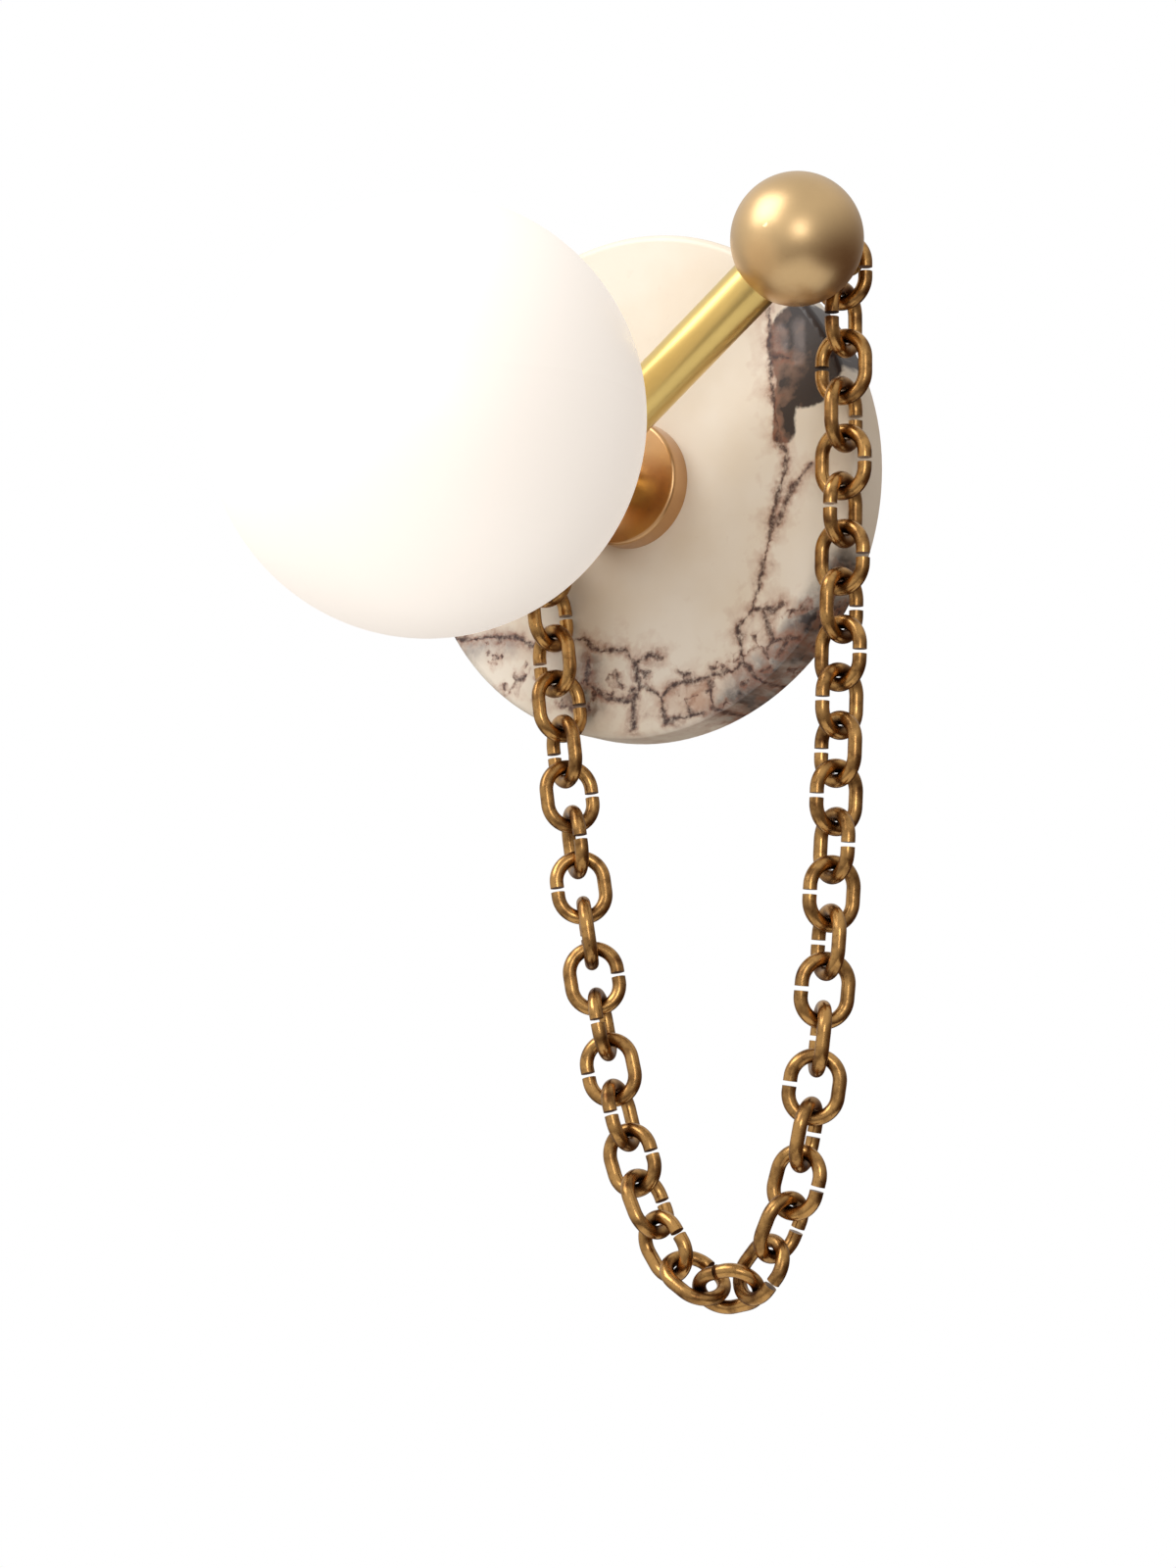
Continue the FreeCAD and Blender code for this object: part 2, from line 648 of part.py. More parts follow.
def make_globe_cup():
    """The cup on the hub's front, the tube and nut that hold it, and its seal."""
    bore = "tube_diameter / 2 + fit_gap"
    outer = "cup_diameter / 2"
    inner = "cup_diameter / 2 - cup_wall"
    rim = f"{CUP_INSIDE} + cup_depth"
    cup = turned("cup", (
        (bore, HUB_FRONT), ("cup_boss_diameter / 2", HUB_FRONT),
        ("cup_boss_diameter / 2", CUP_BACK), (outer, CUP_BACK), (outer, rim),
        (inner, rim), (inner, CUP_INSIDE), (bore, CUP_INSIDE)))
    holes = [radial_cylinder("thumb_screw_diameter / 2 + fit_gap", NECK_RADIUS,
                             "cup_diameter / 2", angle) for angle in screw_angles()]
    finish(cut(cup, *holes), "globe_cup")
    start = f"{HUB_FRONT} - front_tube_in_hub"
    length = f"{HOLDER_BACK} + front_tube_in_holder - ( {start} )"
    tube = cylinder("tube_diameter / 2", start, length)
    finish(cut(tube, cylinder("tube_bore / 2", start, length)), "cup_tube")
    make_hexagon_nut("cup_nut", CUP_INSIDE)
    ring = cylinder(NECK_RADIUS, CUP_INSIDE, "gasket_thickness")
    hole = cylinder(f"{NECK_RADIUS} - glass_thickness", CUP_INSIDE, "gasket_thickness")
    finish(cut(ring, hole), "globe_gasket")


def make_globe_screws():
    """Three thumb screws that grip the globe's neck."""
    for number, angle in enumerate(screw_angles(), start=1):
        tip = f"{NECK_RADIUS} + thumb_gap"
        head = "cup_diameter / 2 + thumb_gap"
        shank = radial_cylinder("thumb_screw_diameter / 2", tip, f"{head} - ( {tip} )", angle)
        knob = radial_cylinder("thumb_head_diameter / 2", head, "thumb_head_length", angle)
        finish(fuse(shank, knob), f"globe_screw_{number}")


def make_globe():
    """The hollow glass globe with its short open neck."""
    outside = doc.addObject("Part::Sphere", "Globe")
    bind(outside, Radius="globe_diameter / 2", Placement__Base__z=GLOBE_STATION)
    inside = doc.addObject("Part::Sphere", "Hollow")
    bind(inside, Radius="globe_diameter / 2 - glass_thickness", Placement__Base__z=GLOBE_STATION)
    neck = cylinder(NECK_RADIUS, NECK_END, f"{GLOBE_STATION} - globe_diameter / 4 - ( {NECK_END} )")
    mouth = cylinder(f"{NECK_RADIUS} - glass_thickness", NECK_END, f"{GLOBE_STATION} - ( {NECK_END} )")
    finish(cut(fuse(outside, neck), inside, mouth), "glass_globe")


def make_lampholder():
    """The ceramic holder on the cup's tube, with its two contacts."""
    body = cylinder("holder_diameter / 2", HOLDER_BACK, "holder_length")
    tools = [cylinder("tube_diameter / 2 + fit_gap", HOLDER_BACK, "front_tube_in_holder")]
    contacts = []
    start = f"{HOLDER_FRONT} - contact_depth"
    for side in ("-1", "1"):
        x = f"{side} * contact_spacing / 2"
        tools.append(cylinder("contact_diameter / 2 + fit_gap", start, "contact_depth", x=x))
        contacts.append(cylinder("contact_diameter / 2", start, "contact_length", x=x))
    finish(cut(body, *tools), "lampholder")
    finish(group(*contacts), "lampholder_contacts")


def make_lamp():
    """The plug-in lamp: base, two pins and a thin glass envelope with a round tip."""
    finish(group(cylinder("lamp_base_diameter / 2", LAMP_BACK, "lamp_base_length")), "lamp_base")
    pins = [cylinder("lamp_pin_diameter / 2", f"{LAMP_BACK} - lamp_pin_length", "lamp_pin_length",
                     x=f"{side} * contact_spacing / 2") for side in ("-1", "1")]
    finish(group(*pins), "lamp_pins")
    shells = []
    for wall in ("0", "lamp_wall"):
        radius = f"lamp_diameter / 2 - {wall}"
        barrel = cylinder(radius, f"{LAMP_GLASS} + {wall}",
                          f"lamp_length - lamp_diameter / 2 - {wall}")
        tip = doc.addObject("Part::Sphere", "Tip")
        bind(tip, Radius=radius,
             Placement__Base__z=f"{LAMP_GLASS} + lamp_length - lamp_diameter / 2")
        shells.append(fuse(barrel, tip))
    finish(cut(*shells), "lamp_envelope")


def check_document():
    """Stop where a feature failed or a sub-part isn't sound."""
    for thing in doc.Objects:
        if "Invalid" in thing.State or "Error" in thing.State:
            raise RuntimeError(f"{thing.Label} failed: {thing.State}")
    for node in nodes:
        shape = node.Shape
        if shape.isNull() or not shape.isValid() or not shape.Solids:
            raise RuntimeError(f"{node.Label} has no sound solid")


def export_nodes():
    """Write each sub-part to its own file."""
    os.makedirs("parts", exist_ok=True)
    for node in nodes:
        node.Shape.exportStep(f"parts/{node.Label}.step")
    print(len(nodes), "sub-parts written")


fill_sheet()
make_backplate()
make_bracket()
make_fixings()
make_terminals()
make_stem()
make_hub()
make_arm()
make_ball("upper", 1, "upper_reach", UPPER_PIN)
make_ball("lower", -1, "lower_reach", LOWER_PIN)
make_chain()
make_globe_cup()
make_globe_screws()
make_globe()
make_lampholder()
make_lamp()
doc.recompute()
check_document()
export_nodes()
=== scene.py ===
"""Wall sconce: a round marble backplate, a slanted satin brass arm with ball ends,
an opal glass globe in front and a looped chain of open antique brass links.

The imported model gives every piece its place. X runs to the right, Z up, and the light
faces -Y, away from the wall. Lengths are in metres.
"""
import math

import bpy
from mathutils import Matrix, Vector


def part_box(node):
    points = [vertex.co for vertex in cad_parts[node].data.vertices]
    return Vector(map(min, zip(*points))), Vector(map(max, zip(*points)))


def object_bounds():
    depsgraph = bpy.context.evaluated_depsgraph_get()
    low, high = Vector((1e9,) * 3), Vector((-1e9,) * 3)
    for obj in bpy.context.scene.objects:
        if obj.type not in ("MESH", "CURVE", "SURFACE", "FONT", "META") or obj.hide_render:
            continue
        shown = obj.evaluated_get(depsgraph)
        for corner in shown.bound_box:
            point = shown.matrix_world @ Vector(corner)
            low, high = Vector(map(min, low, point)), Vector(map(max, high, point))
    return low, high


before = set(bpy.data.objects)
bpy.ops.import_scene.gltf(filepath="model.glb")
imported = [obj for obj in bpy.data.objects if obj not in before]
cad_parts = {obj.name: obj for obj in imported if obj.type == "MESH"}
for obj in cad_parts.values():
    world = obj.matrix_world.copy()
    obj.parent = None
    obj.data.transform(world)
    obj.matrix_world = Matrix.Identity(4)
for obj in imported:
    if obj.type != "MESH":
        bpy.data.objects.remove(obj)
CAD_BOX = [list(corner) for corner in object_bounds()]

bl_info = {
    "name": "Marble wall sconce",
    "version": (1, 0, 0),
    "blender": (4, 5, 0),
    "location": "View3D > Sidebar > Sconce",
    "description": "Finishes of a marble and brass globe sconce with a hanging chain",
    "category": "Object",
}

MM = 0.001
WHITE = (1.0, 1.0, 1.0, 1.0)


def per(millimetres):
    """The scale of a pattern whose marks are so many millimetres across."""
    return 1 / (millimetres * MM)


def linear(hex_colour):
    """Linear red, green, blue and alpha of an sRGB hex colour."""
    shares = [int(hex_colour[place:place + 2], 16) / 255 for place in (1, 3, 5)]
    return (*(share / 12.92 if share <= 0.04045 else ((share + 0.055) / 1.055) ** 2.4
              for share in shares), 1.0)


def colour(name, description, hex_colour):
    """A colour that a user can change."""
    return bpy.props.FloatVectorProperty(
        name=name, description=description, subtype="COLOR", size=4, min=0.0, max=1.0,
        default=linear(hex_colour))


def length(name, description, millimetres):
    """A length that a user can change."""
    return bpy.props.FloatProperty(name=name, description=description, unit="LENGTH",
                                   min=0.0, default=millimetres * MM)


def share(name, description, value, most=1.0):
    """A plain number that a user can change."""
    return bpy.props.FloatProperty(name=name, description=description, min=0.0, max=most,
                                   default=value)


# What a user would change -----------------------------------------------------------------

class MarbleLook(bpy.types.PropertyGroup):
    """Sizes and colours of the marble."""
    ground: colour("Ground", "Cream ground of the stone", "#EADFCF")
    cloud: colour("Cloud", "Warmer clouds in the ground", "#DCCAB0")
    vein: colour("Vein", "Core of the veins", "#2E1C1A")
    rust: colour("Rust", "Rusty edge of the veins", "#86492F")
    tan: colour("Tan", "Soft tan glow along the veins", "#B98D72")
    # Ash and dusk are the stone's grey violet and dark patch, and also paint shade along the
    # lower-right rim.
    ash_and_rim_shade: colour("Ash", "Grey violet shade of the stone", "#8A7E7B")
    dusk_and_rim_shade: colour("Dusk", "Dark brown violet of the thick patch", "#2C1F1C")
    vein_width: length("Vein width", "Half width of a fine vein", 0.95)
    cell: length("Cell", "Size of the stone's fine cells", 12.0)


class BrassLook(bpy.types.PropertyGroup):
    """Colours of the satin brass."""
    ball: colour("Ball", "Champagne brass of the balls", "#DBB987")
    rod: colour("Rod", "Golden brass of the rod", "#E6C779")
    collar: colour("Collar", "Copper brass of the collar", "#CBA070")
    roughness: share("Roughness", "How soft the reflections are", 0.3)


class ChainLook(bpy.types.PropertyGroup):
    """Sizes and colours of the antique chain."""
    bright: colour("Rubbed", "Brass where the chain is rubbed", "#BE9157")
    dark: colour("Patina", "Brown patina of the chain", "#5E3D22")
    # The recess colour is patina, and also painted shade where links lie close to each other.
    recess: colour("Recess", "Dark red patina in the hollows", "#3A1D10")
    roughness: share("Roughness", "How soft the reflections are", 0.24)
    burr: length("Burr", "Rounding of the cut ends", 0.35)


class GlassLook(bpy.types.PropertyGroup):
    """Colours and glow of the globe."""
    opal: colour("Opal", "Frosted opal glass", "#CFC8C0")
    glow: colour("Glow", "Light that the glass gives", "#FFF7EE")
    strength: share("Strength", "How brightly the glass glows", 0.65, 20.0)


class StageLook(bpy.types.PropertyGroup):
    """Floor, lights and camera."""
    floor_drop: length("Floor drop", "Floor below the chain's lowest link", 1400.0)
    floor_reach: length("Floor reach", "Floor from its middle to its edge", 1500.0)
    floor: colour("Floor", "Pale floor", "#F4F3F1")
    key_power: share("Key power", "Large soft light from the upper left, in watts", 27.0, 500.0)
    fill_power: share("Fill power", "Soft light from the camera's side, in watts", 6.0, 500.0)
    room: share("Room", "Strength of the pale room round the object", 0.84, 10.0)
    dim: colour("Dim", "Low side of the room, as the brass reflects it", "#5A3E2B")
    lens: share("Lens", "Focal length in millimetres on a 36 mm long side", 91.54, 300.0)
    shift: share("Shift", "Upward shift of the lens, a share of the long side", 0.12)


# Nodes ------------------------------------------------------------------------------------

def add(tree, kind, *inputs, sockets=None, give=0, **settings):
    """Add a node with its settings and return one of its live outputs.

    Its live inputs are filled in order, and those in sockets by name, each with a value
    or with another node's output. The number in give says which output is returned.
    """
    node = tree.nodes.new(kind)
    for name, value in settings.items():
        setattr(node, name, value)
    live = [socket for socket in node.inputs if socket.enabled]
    named = [(node.inputs[name], value) for name, value in (sockets or {}).items()]
    for socket, value in [*zip(live, inputs), *named]:
        if isinstance(value, bpy.types.NodeSocket):
            tree.links.new(value, socket)
        else:
            socket.default_value = value
    outputs = [socket for socket in node.outputs if socket.enabled]
    return outputs[give] if outputs else node


def new_material(name, **sockets):
    """A material with its tree, its Principled BSDF's inputs and the place on the object."""
    material = bpy.data.materials.new(name)
    material.use_nodes = True
    tree = material.node_tree
    tree.nodes.clear()
    place = add(tree, "ShaderNodeTexCoord", give=3)
    surface = add(tree, "ShaderNodeBsdfPrincipled",
                  sockets={key.replace("_", " "): value for key, value in sockets.items()})
    add(tree, "ShaderNodeOutputMaterial", surface)
    return material, tree, surface.node.inputs, place


def wander(tree, place, millimetres, reach):
    """A place moved about by noise, as far as reach in millimetres."""
    push = add(tree, "ShaderNodeTexNoise", place, per(millimetres), 4.0, give=1)
    centred = add(tree, "ShaderNodeVectorMath", push, (0.5, 0.5, 0.5), operation="SUBTRACT")
    return add(tree, "ShaderNodeVectorMath", centred, (2 * reach * MM,) * 3, place,
               operation="MULTIPLY_ADD")


def line_distance(tree, place, points):
    """Metres from a place on the stone to a run of points given in millimetres."""
    least = 1.0
    for (x0, z0), (x1, z1) in zip(points, points[1:]):
        start = Vector((x0, 0, z0)) * MM
        run = Vector((x1 - x0, 0, z1 - z0)) * MM
        offset = add(tree, "ShaderNodeVectorMath", place, start, operation="SUBTRACT")
        along = add(tree, "ShaderNodeVectorMath", offset, run / run.length_squared,
                    operation="DOT_PRODUCT")
        # The foot of the shortest way stays between the run's two ends.
        held = add(tree, "ShaderNodeMath", along, 0.0, operation="ADD", use_clamp=True)
        foot = add(tree, "ShaderNodeVectorMath", run, held, operation="SCALE")
        gap = add(tree, "ShaderNodeVectorMath", offset, foot, operation="DISTANCE")
        least = add(tree, "ShaderNodeMath", gap, least, operation="MINIMUM")
    return least


# Finishes ---------------------------------------------------------------------------------

# Runs of the stone's veins, in millimetres to the right of the centre and above it.
LONG_VEINS = (
    ((64, 60), (64, 31), (66, 7), (69, 2), (68, -5), (64, -13), (60, -30), (56, -43),
     (51.5, -56)),
    ((80, -3.5), (71, -11), (64, -24)),
    ((64, 41), (73, 39)),
    ((51.5, -56), (45, -63), (46, -76), (42, -79), (17, -81), (9, -85), (0, -80)),
    ((51.5, -56), (60, -58), (65, -56)),
    ((56, -57.5), (60, -69), (57, -72)),
    ((-88, -50), (-58, -53), (-46, -58), (-25, -58), (-18, -63.5), (-6, -64.5), (-2, -70),
     (0, -80)),
    ((-1, -70), (4, -68), (10, -70)),
    ((-23, -65), (-24, -76), (-16, -83), (-4, -85.5), (0, -80)),
    ((-4, -85.5), (-4, -96)),
    ((9, -85), (10, -95), (27, -94)),
    ((31, -82), (32, -92), (40, -97)),
    ((46, -76), (56, -88), (70, -80)),
    ((60, -69.5), (70, -69.5)),
)
# Darker and lighter runs of the stone: the run, how far it is full and where it ends in
# millimetres, its colour and its share there. The two runs along the lower-right rim are
# painted shade, laid over the stone's own violet, where the rounded edge turns from the light.
SHADES = (
    (((-86, -54), (-60, -55)), 1, 9, "ash_and_rim_shade", 0.8),
    (((-24, -70), (-24, -84)), 3, 11, "dusk_and_rim_shade", 0.85),
    (((12, -86), (28, -87)), 3, 9, "tan", 0.7),
    # Painted shade: these two runs darken the lower-right rim, where the rounded edge turns
    # from the light.
    (((46, -86), (64, -76), (78, -62)), 3, 12, "ash_and_rim_shade", 0.9),
    (((38, -98), (66, -83), (92, -48)), 4, 15, "dusk_and_rim_shade", 0.95),
    (((77.5, 46), (80, 33)), 13.5, 15, "dusk_and_rim_shade", 1.0),
    (((70, 26), (68.5, 11)), 4.5, 6, "dusk_and_rim_shade", 1.0),
    (((69, 44), (69, 50)), 1, 4.5, "ash_and_rim_shade", 0.75),
    (((77, 52), (77, 38)), 1, 4, "ash_and_rim_shade", 0.55),
)
# The stone's fine cells lie along this run, and their walls fade out away from it.
FINE_CELLS = ((-92, -54), (-30, -78), (30, -86), (92, -56))
CELLS_FULL = 8 * MM
CELLS_END = 18 * MM
NO_VEIN = 12 * MM  # a distance at which a vein no longer shows
WALL_LEAST = 0.3 * MM  # a fine wall's distance where it is clearest

# Marks of the stone, in millimetres.
CLOUD = 60
DRIFT = 8
WALL_BREAK = 9
VEIN_SWELL = 6
VEIN_SPECKLE = 2.5
# Its crystals are about 0.3 mm across and are drawn larger, so that they show.
STONE_GRAIN = 1.2


def shaded_ground(tree, look, flat, jagged, level):
    """The stone's ground with its clouds, its darker and lighter runs and the painted shade of
    its lower-right rim, and how uneven the stone is there.
    """
    cloud = add(tree, "ShaderNodeTexNoise", flat, per(CLOUD), 4.0)
    clouded = add(tree, "ShaderNodeMapRange", cloud, 0.4, 0.7, 0.0, 0.8)
    tone = add(tree, "ShaderNodeMix", clouded, look.ground, look.cloud, data_type="RGBA")
    drift = add(tree, "ShaderNodeTexNoise", jagged, per(DRIFT), 4.0, 0.6)
    uneven = add(tree, "ShaderNodeMapRange", drift, 0.38, 0.6, 0.45, 1.0)
    for run, full, end, paint, most in SHADES:
        near = add(tree, "ShaderNodeMapRange", line_distance(tree, level, run), full * MM,
                   end * MM, most, 0.0, interpolation_type="SMOOTHSTEP")
        if most < 1.0:
            near = add(tree, "ShaderNodeMath", near, uneven, operation="MULTIPLY")
        tone = add(tree, "ShaderNodeMix", near, tone, getattr(look, paint), data_type="RGBA")
    return tone, uneven


def vein_distance(tree, look, place, jagged, level):
    """How far a place is from the nearest vein, as a multiple of its half width there."""
    band = add(tree, "ShaderNodeMapRange", line_distance(tree, level, FINE_CELLS),
               CELLS_FULL, CELLS_END, 0.0, NO_VEIN)
    cells = add(tree, "ShaderNodeTexVoronoi", jagged, 1 / look.cell, 0.0, 0.5, 2.0, 0.9,
                feature="DISTANCE_TO_EDGE")
    walls = add(tree, "ShaderNodeMath", cells, look.cell, band, operation="MULTIPLY_ADD")
    broken = add(tree, "ShaderNodeTexNoise", place, per(WALL_BREAK), 4.0)
    broken = add(tree, "ShaderNodeMapRange", broken, 0.40, 0.54, NO_VEIN, WALL_LEAST)
    gap = add(tree, "ShaderNodeMath", walls, broken, operation="ADD")
    for run in LONG_VEINS:
        gap = add(tree, "ShaderNodeMath", gap, line_distance(tree, level, run),
                  operation="MINIMUM")
    swell = add(tree, "ShaderNodeTexNoise", place, per(VEIN_SWELL), 3.0)
    swell = add(tree, "ShaderNodeMapRange", swell, 0.35, 0.68, 0.35, 1.9)
    width = add(tree, "ShaderNodeMath", swell, look.vein_width, operation="MULTIPLY")
    return add(tree, "ShaderNodeMath", gap, width, operation="DIVIDE")


def veined(tree, look, place, tone, uneven, away):
    """The tan glow, rust stain and dark core of the veins, laid over the ground."""
    speckle = add(tree, "ShaderNodeTexNoise", place, per(VEIN_SPECKLE), 4.0, 0.65)
    glow = add(tree, "ShaderNodeMapRange", away, 0.0, 8.0, 0.55, 0.0)
    glow = add(tree, "ShaderNodeMath", glow, uneven, operation="MULTIPLY")
    tone = add(tree, "ShaderNodeMix", glow, tone, look.tan, data_type="RGBA")
    stain = add(tree, "ShaderNodeMapRange", away, 0.5, 3.2, 0.85, 0.0)
    stain_share = add(tree, "ShaderNodeMapRange", speckle, 0.36, 0.62)
    stain = add(tree, "ShaderNodeMath", stain, stain_share, operation="MULTIPLY")
    tone = add(tree, "ShaderNodeMix", stain, tone, look.rust, data_type="RGBA")
    core = add(tree, "ShaderNodeMapRange", away, 0.3, 1.3, 0.9, 0.0)
    core_share = add(tree, "ShaderNodeMapRange", speckle, 0.36, 0.56, 0.3, 1.0)
    core = add(tree, "ShaderNodeMath", core, core_share, operation="MULTIPLY")
    return add(tree, "ShaderNodeMix", core, tone, look.vein, data_type="RGBA")


def breccia_marble(look):
    """Breccia marble, honed: cream ground, rust-edged brown veins and a soft low sheen."""
    material, tree, shader, place = new_material(
        "breccia_marble_honed", Roughness=0.36, IOR=1.5, Coat_Weight=0.1,
        Coat_Roughness=0.2)
    # The veins run nearly straight through the plate, so its side carries on the lines
    # of its face.
    flat = add(tree, "ShaderNodeVectorMath", place, (1.0, 0.25, 1.0), operation="MULTIPLY")
    bent = wander(tree, flat, millimetres=9, reach=1.5)
    jagged = wander(tree, bent, millimetres=2.4, reach=1.1)
    level = add(tree, "ShaderNodeVectorMath", jagged, (1.0, 0.0, 1.0), operation="MULTIPLY")

    tone, uneven = shaded_ground(tree, look, flat, jagged, level)
    away = vein_distance(tree, look, place, jagged, level)
    tone = veined(tree, look, place, tone, uneven, away)
    tree.links.new(tone, shader["Base Color"])

    grain = add(tree, "ShaderNodeTexNoise", place, per(STONE_GRAIN), 3.0)
    tree.links.new(add(tree, "ShaderNodeBump", sockets={"Height": grain, "Distance": 2e-5}),
                   shader["Normal"])
    return material


# Marks of the brass, in millimetres.
BRASS_DRIFT = 30
BRASS_MOTTLE = 7
BRASS_SPECK = 1.4
BRASS_OCCLUSION_REACH = 3.5
# The brushing is about 0.1 mm wide and is drawn wider, so that it shows.
BRUSHING = 0.6


def satin_brass(name, base, roughness):
    """Brass, brushed and lacquered: soft broad highlights with a faint drift of tone."""
    material, tree, shader, place = new_material(
        name, Metallic=1.0, Roughness=roughness, Coat_Weight=0.3, Coat_Roughness=0.25)
    drift = add(tree, "ShaderNodeTexNoise", place, per(BRASS_DRIFT), 3.0)
    drift = add(tree, "ShaderNodeMapRange", drift, 0.35, 0.7)
    deep = (*(channel * 0.86 for channel in base[:3]), 1.0)
    tone = add(tree, "ShaderNodeMix", drift, base, deep, data_type="RGBA")
    tree.links.new(tone, shader["Base Color"])
    fine = add(tree, "ShaderNodeTexNoise", place, per(BRUSHING), 2.0)
    soft = add(tree, "ShaderNodeMapRange", fine, 0.3, 0.7, roughness * 0.92, roughness * 1.1)
    tree.links.new(soft, shader["Roughness"])
    tree.links.new(add(tree, "ShaderNodeBump", sockets={"Height": fine, "Distance": 1.5e-6}),
                   shader["Normal"])
    return material


def antique_brass(look):
    """Brass, cast and antiqued: rubbed gold on the rounds, red-brown patina in hollows,
    deepened by painted shade where links lie close.
    """
    material, tree, shader, place = new_material("antique_brass_cast", Metallic=1.0)
    mottle = add(tree, "ShaderNodeTexNoise", place, per(BRASS_MOTTLE), 4.0, 0.55)
    stained = add(tree, "ShaderNodeMapRange", mottle, 0.42, 0.72)
    tone = add(tree, "ShaderNodeMix", stained, look.bright, look.dark, data_type="RGBA")
    speck = add(tree, "ShaderNodeTexNoise", place, per(BRASS_SPECK), 3.0, 0.6)
    specked = add(tree, "ShaderNodeMapRange", speck, 0.58, 0.74, 0.0, 0.55)
    tone = add(tree, "ShaderNodeMix", specked, tone, look.recess, data_type="RGBA")
    # Patina and painted shade: the occlusion darkens the hollows, and also where one link lies
    # close to the next, where shade falls.
    occlusion = add(tree, "ShaderNodeAmbientOcclusion", WHITE, BRASS_OCCLUSION_REACH * MM, give=1,
                 samples=6)
    patina_and_painted_shade = add(tree, "ShaderNodeMapRange", occlusion, 0.2, 0.75, 0.9, 0.0)
    tone = add(tree, "ShaderNodeMix", patina_and_painted_shade, tone, look.recess, data_type="RGBA")
    tree.links.new(tone, shader["Base Color"])
    dull = add(tree, "ShaderNodeMapRange", mottle, 0.35, 0.7, look.roughness * 0.85,
               look.roughness * 1.4)
    tree.links.new(dull, shader["Roughness"])
    tree.links.new(add(tree, "ShaderNodeBump", sockets={"Height": mottle, "Distance": 1e-4}),
                   shader["Normal"])
    return material


def globe_ball():
    """Centre and radius of the glass globe."""
    low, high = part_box("glass_globe")
    radius = (high.x - low.x) / 2
    return Vector((0.0, low.y + radius, (low.z + high.z) / 2)), radius


# Painted light: the lamp's glow is painted brightest towards the front, a little left and low,
# and fades towards the globe's edges.
PAINTED_GLOW_SIDE = (-0.25, -0.9, -0.1)  # the brightest place, in radii from the globe's centre
GLOW_EDGE = 0.72  # share of the glow that is left far from there
# The frosting is finer than 0.1 mm and is drawn coarser, so that it shows.
FROST = 0.6


def opal_glass(look):
    """Opal glass, blown and frosted, lit from inside: white, with its glow painted brighter
    towards the front and dimmer towards a creamy edge.
    """
    material, tree, shader, place = new_material(
        "opal_glass_frosted", Base_Color=look.opal, Roughness=0.45, IOR=1.5,
        Emission_Color=look.glow)
    centre, radius = globe_ball()
    brightest = centre + Vector(PAINTED_GLOW_SIDE) * radius
    away = add(tree, "ShaderNodeVectorMath", place, brightest, operation="DISTANCE")
    lit = add(tree, "ShaderNodeMapRange", away, 0.5 * radius, 1.7 * radius, look.strength,
              look.strength * GLOW_EDGE, interpolation_type="SMOOTHSTEP")
    tree.links.new(lit, shader["Emission Strength"])
    frost = add(tree, "ShaderNodeTexNoise", place, per(FROST), 2.0)
    tree.links.new(add(tree, "ShaderNodeBump", sockets={"Height": frost, "Distance": 5e-6}),
                   shader["Normal"])
    return material


SMALL_DRIFT = 8  # the tone of a small part drifts over so many millimetres


def plain(name, hex_colour, grain=1.0, **sockets):
    """A small part's finish: one tone with a slight drift, and a grain in millimetres."""
    material, tree, shader, place = new_material(name, **sockets)
    base = linear(hex_colour)
    drift = add(tree, "ShaderNodeTexNoise", place, per(SMALL_DRIFT), 3.0)
    drift = add(tree, "ShaderNodeMapRange", drift, 0.3, 0.7)
    worn = (*(channel * 0.85 for channel in base[:3]), 1.0)
    tone = add(tree, "ShaderNodeMix", drift, base, worn, data_type="RGBA")
    tree.links.new(tone, shader["Base Color"])
    fine = add(tree, "ShaderNodeTexNoise", place, per(grain), 2.0)
    tree.links.new(add(tree, "ShaderNodeBump", sockets={"Height": fine, "Distance": 1e-5}),
                   shader["Normal"])
    return material


def dress(material, *names):
    """Give CAD nodes a finish."""
    for name in names:
        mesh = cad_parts[name].data
        mesh.materials.clear()
        mesh.materials.append(material)


def soften(width, *names):
    """Round the sharp edges of CAD nodes."""
    for name in names:
        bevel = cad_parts[name].modifiers.new("eased edges", "BEVEL")
        bevel.width = width
        bevel.segments = 3
        bevel.limit_method = "ANGLE"
        bevel.angle_limit = math.radians(50)


# Operators --------------------------------------------------------------------------------

class SCONCE_OT_marble(bpy.types.Operator):
    """Finish the marble backplate"""
    bl_idname = "sconce.marble"
    bl_label = "Marble backplate"

    def execute(self, context):
        dress(breccia_marble(context.scene.sconce_marble), "marble_backplate")
        return {"FINISHED"}


class SCONCE_OT_brasswork(bpy.types.Operator):
    """Finish the arm, the balls, the collar and the cup"""
    bl_idname = "sconce.brasswork"
    bl_label = "Brasswork"

    def execute(self, context):
        look = context.scene.sconce_brass
        dress(satin_brass("champagne_brass_satin", look.ball, look.roughness * 1.25),
              "upper_ball", "lower_ball")
        dress(satin_brass("golden_brass_satin", look.rod, look.roughness),
              "arm_rod", "cross_hub", "stem_tube", "globe_cup", "globe_screw_1",
              "globe_screw_2", "globe_screw_3", "upper_chain_pin", "lower_chain_pin")
        dress(satin_brass("copper_brass_satin", look.collar, look.roughness), "collar")
        return {"FINISHED"}


class SCONCE_OT_chain(bpy.types.Operator):
    """Finish the hanging chain"""
    bl_idname = "sconce.chain"
    bl_label = "Hanging chain"

    def execute(self, context):
        look = context.scene.sconce_chain
        links = [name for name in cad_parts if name.startswith("chain_link")]
        if not links:
            raise RuntimeError("the frame has no chain links")
        dress(antique_brass(look), *links)
        soften(look.burr, *links)
        return {"FINISHED"}


class SCONCE_OT_globe(bpy.types.Operator):
    """Finish the glass globe and its seal"""
    bl_idname = "sconce.globe"
    bl_label = "Glass globe"

    def execute(self, context):
        dress(opal_glass(context.scene.sconce_glass), "glass_globe")
        # Silicone, moulded: matt and faintly grey.
        dress(plain("silicone_seal", "#D9D6D0", Roughness=0.7), "globe_gasket")
        return {"FINISHED"}


